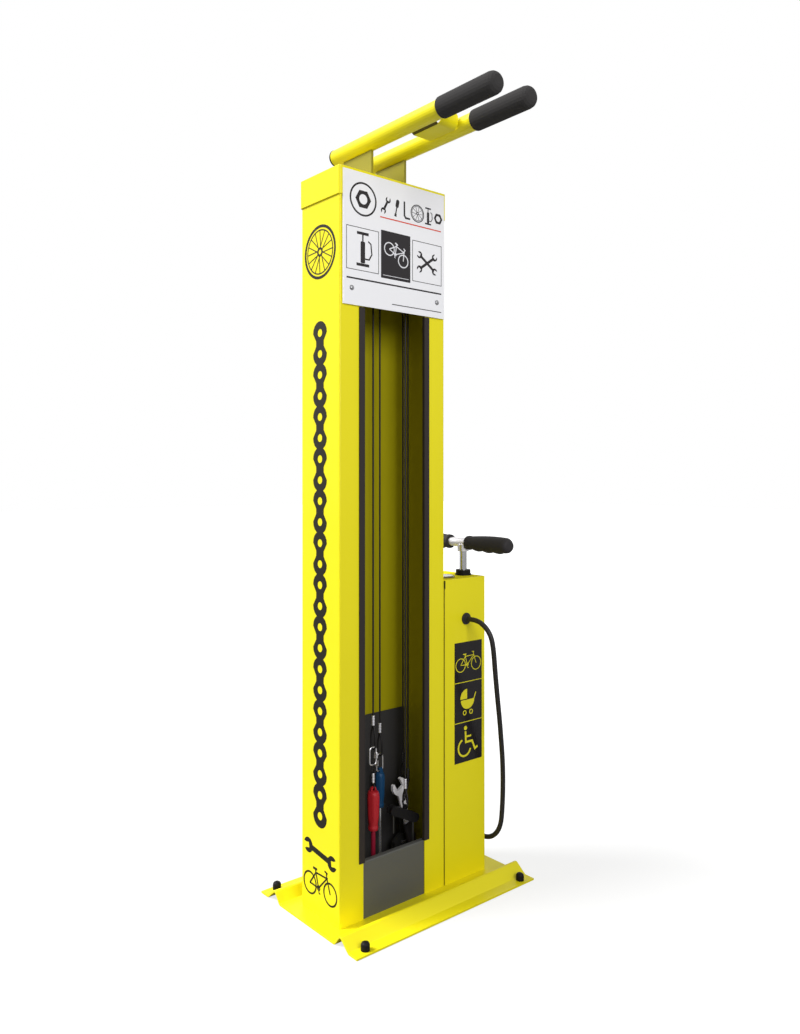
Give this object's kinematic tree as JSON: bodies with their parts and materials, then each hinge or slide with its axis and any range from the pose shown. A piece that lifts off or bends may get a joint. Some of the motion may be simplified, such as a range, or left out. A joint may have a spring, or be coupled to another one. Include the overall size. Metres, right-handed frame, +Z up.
{
  "type": "bicycle repair station",
  "caption": "Outdoor bicycle repair station: slotted steel column with hanging tools, two arms that hold a bicycle by its saddle, and a boxed floor pump on a ridged base plate.",
  "frame": {"origin": "on the floor, under the middle of the base plate", "axes": "+X along the slotted front from the column towards the pump box, +Y to the back, +Z up"},
  "size_m": [0.475, 0.553, 1.5458],
  "materials": {
    "yellow_paint": "gloss powder coat",
    "black_rubber": "matte rubber",
    "black_foam": "matte closed-cell foam",
    "black_plastic": "fine matte plastic",
    "grey_panel": "matte grey coat",
    "dark_lining": "matte board",
    "white_plate": "smooth white coat",
    "bright_steel": "plated, satin",
    "coated_cable": "wire rope in a black sheath",
    "red_plastic": "gloss plastic",
    "blue_plastic": "gloss plastic",
    "red_needle": "thin painted sheet",
    "clear_lens": "clear"
  },
  "bodies": {
    "station": {"base_plate": "yellow_paint", "anchor_cap_1": "black_plastic", "anchor_cap_2": "black_plastic", "anchor_cap_3": "black_plastic", "anchor_cap_4": "black_plastic", "main_housing": "yellow_paint", "top_lid": "yellow_paint", "info_plate": "white_plate", "slot_trim_left": "black_rubber", "slot_trim_right": "black_rubber", "kick_panel": "grey_panel", "back_lining": "dark_lining", "cable_hanger": "bright_steel", "arm_tube_left": "yellow_paint", "arm_upright_left": "yellow_paint", "arm_end_plug_left": "black_plastic", "arm_grip_left": "black_foam", "arm_tube_right": "yellow_paint", "arm_upright_right": "yellow_paint", "arm_end_plug_right": "black_plastic", "arm_grip_right": "black_foam", "arm_bridge_plate": "yellow_paint", "pump_box": "yellow_paint", "pump_box_cover": "yellow_paint", "pump_foot": "bright_steel", "pump_barrel": "bright_steel", "pump_collar": "black_plastic", "hose_grommet": "black_rubber", "pump_hose": "black_rubber", "pump_head": "black_plastic", "head_clip": "bright_steel", "gauge_case": "black_plastic", "gauge_lens": "clear_lens"},
    "pump_plunger": {"pump_piston": "black_plastic", "pump_rod": "bright_steel"},
    "pump_handle": {"pump_handle_bar": "bright_steel", "pump_grip_front": "black_rubber", "pump_grip_back": "black_rubber"},
    "valve_lever": {"pump_head_lever": "bright_steel"},
    "needle": {"gauge_needle": "red_needle"},
    "red_line": {"tool_cable_1": "coated_cable", "tool_link_red": "bright_steel"},
    "red_driver": {"tool_lanyard_red": "coated_cable", "screwdriver_red_handle": "red_plastic", "screwdriver_red_blade": "red_plastic"},
    "blue_line": {"tool_cable_2": "coated_cable", "tool_link_blue": "bright_steel"},
    "blue_driver": {"screwdriver_blue_handle": "blue_plastic", "screwdriver_blue_blade": "bright_steel"},
    "wrench_line": {"tool_cable_3": "coated_cable", "open_wrench": "bright_steel", "open_wrench_sleeve": "black_rubber"},
    "adjustable_line": {"tool_cable_4": "coated_cable", "adjustable_wrench": "bright_steel"},
    "sliding_jaw": {"adjustable_jaw": "bright_steel"},
    "worm": {"adjustable_worm": "bright_steel"},
    "hex_line": {"tool_cable_5": "coated_cable", "hex_key_holder": "black_plastic"},
    "large_key": {"hex_key_large": "bright_steel"},
    "small_key": {"hex_key_small": "bright_steel"}
  },
  "joints": [
    {"name": "pump_stroke", "type": "slide", "parent": "station", "child": "pump_plunger", "axis": [0, 0, 1], "range_m": [0, 0.48]},
    {"name": "handle_turn", "type": "hinge", "parent": "pump_plunger", "child": "pump_handle", "pos_m": [0.168, -0.0185, 0.717], "axis": [0, 0, 1], "range_deg": [-33, 33]},
    {"name": "valve_lever_lift", "type": "hinge", "parent": "station", "child": "valve_lever", "pos_m": [0.2045, 0.0265, 0.4785], "axis": [1, 0, 0], "range_deg": [-90, 0]},
    {"name": "needle_turn", "type": "hinge", "parent": "station", "child": "needle", "pos_m": [0.103, -0.0205, 0.6464], "axis": [0, 0, 1], "range_deg": [-270, 0]},
    {"name": "red_line_swing", "type": "hinge", "parent": "station", "child": "red_line", "pos_m": [-0.0813, -0.0125, 1.2335], "axis": [1, 0, 0], "range_deg": [-0.9, 2]},
    {"name": "red_driver_swing", "type": "hinge", "parent": "red_line", "child": "red_driver", "pos_m": [-0.0813, -0.0125, 0.2767], "axis": [1, 0, 0], "range_deg": [-3, 3]},
    {"name": "blue_line_swing", "type": "hinge", "parent": "station", "child": "blue_line", "pos_m": [-0.0349, 0.0235, 1.2335], "axis": [1, 0, 0], "range_deg": [-1.5, 0.7]},
    {"name": "blue_driver_swing", "type": "hinge", "parent": "blue_line", "child": "blue_driver", "pos_m": [-0.0349, 0.0235, 0.2447], "axis": [1, 0, 0], "range_deg": [-3, 3]},
    {"name": "wrench_line_swing", "type": "hinge", "parent": "station", "child": "wrench_line", "pos_m": [0.024, 0.0015, 1.2335], "axis": [1, 0, 0], "range_deg": [-1.1, 0.7]},
    {"name": "adjustable_line_swing", "type": "hinge", "parent": "station", "child": "adjustable_line", "pos_m": [0.032, 0.0275, 1.2335], "axis": [1, 0, 0], "range_deg": [-0.7, 1.1]},
    {"name": "jaw_slide", "type": "slide", "parent": "adjustable_line", "child": "sliding_jaw", "axis": [1, 0, 0], "range_m": [-0.0065, 0.01]},
    {"name": "worm_turn", "type": "hinge", "parent": "adjustable_line", "child": "worm", "pos_m": [0.0305, 0.0275, 0.07869], "axis": [1, 0, 0], "range_deg": [-905, 1390]},
    {"name": "hex_line_swing", "type": "hinge", "parent": "station", "child": "hex_line", "pos_m": [-0.016, -0.0365, 1.2335], "axis": [1, 0, 0], "range_deg": [-0.6, 1.1]},
    {"name": "large_key_turn", "type": "hinge", "parent": "hex_line", "child": "large_key", "pos_m": [0.00661, -0.0365, 0.15631], "axis": [0, 1, 0], "range_deg": [-30, 109]},
    {"name": "small_key_turn", "type": "hinge", "parent": "hex_line", "child": "small_key", "pos_m": [-0.05001, -0.0365, 0.18392], "axis": [0, 1, 0], "range_deg": [-61, 60]}
  ],
  "couplings": [
    {"joint": "worm_turn", "follows": "jaw_slide", "rad_per_m": 2416.6}
  ]
}
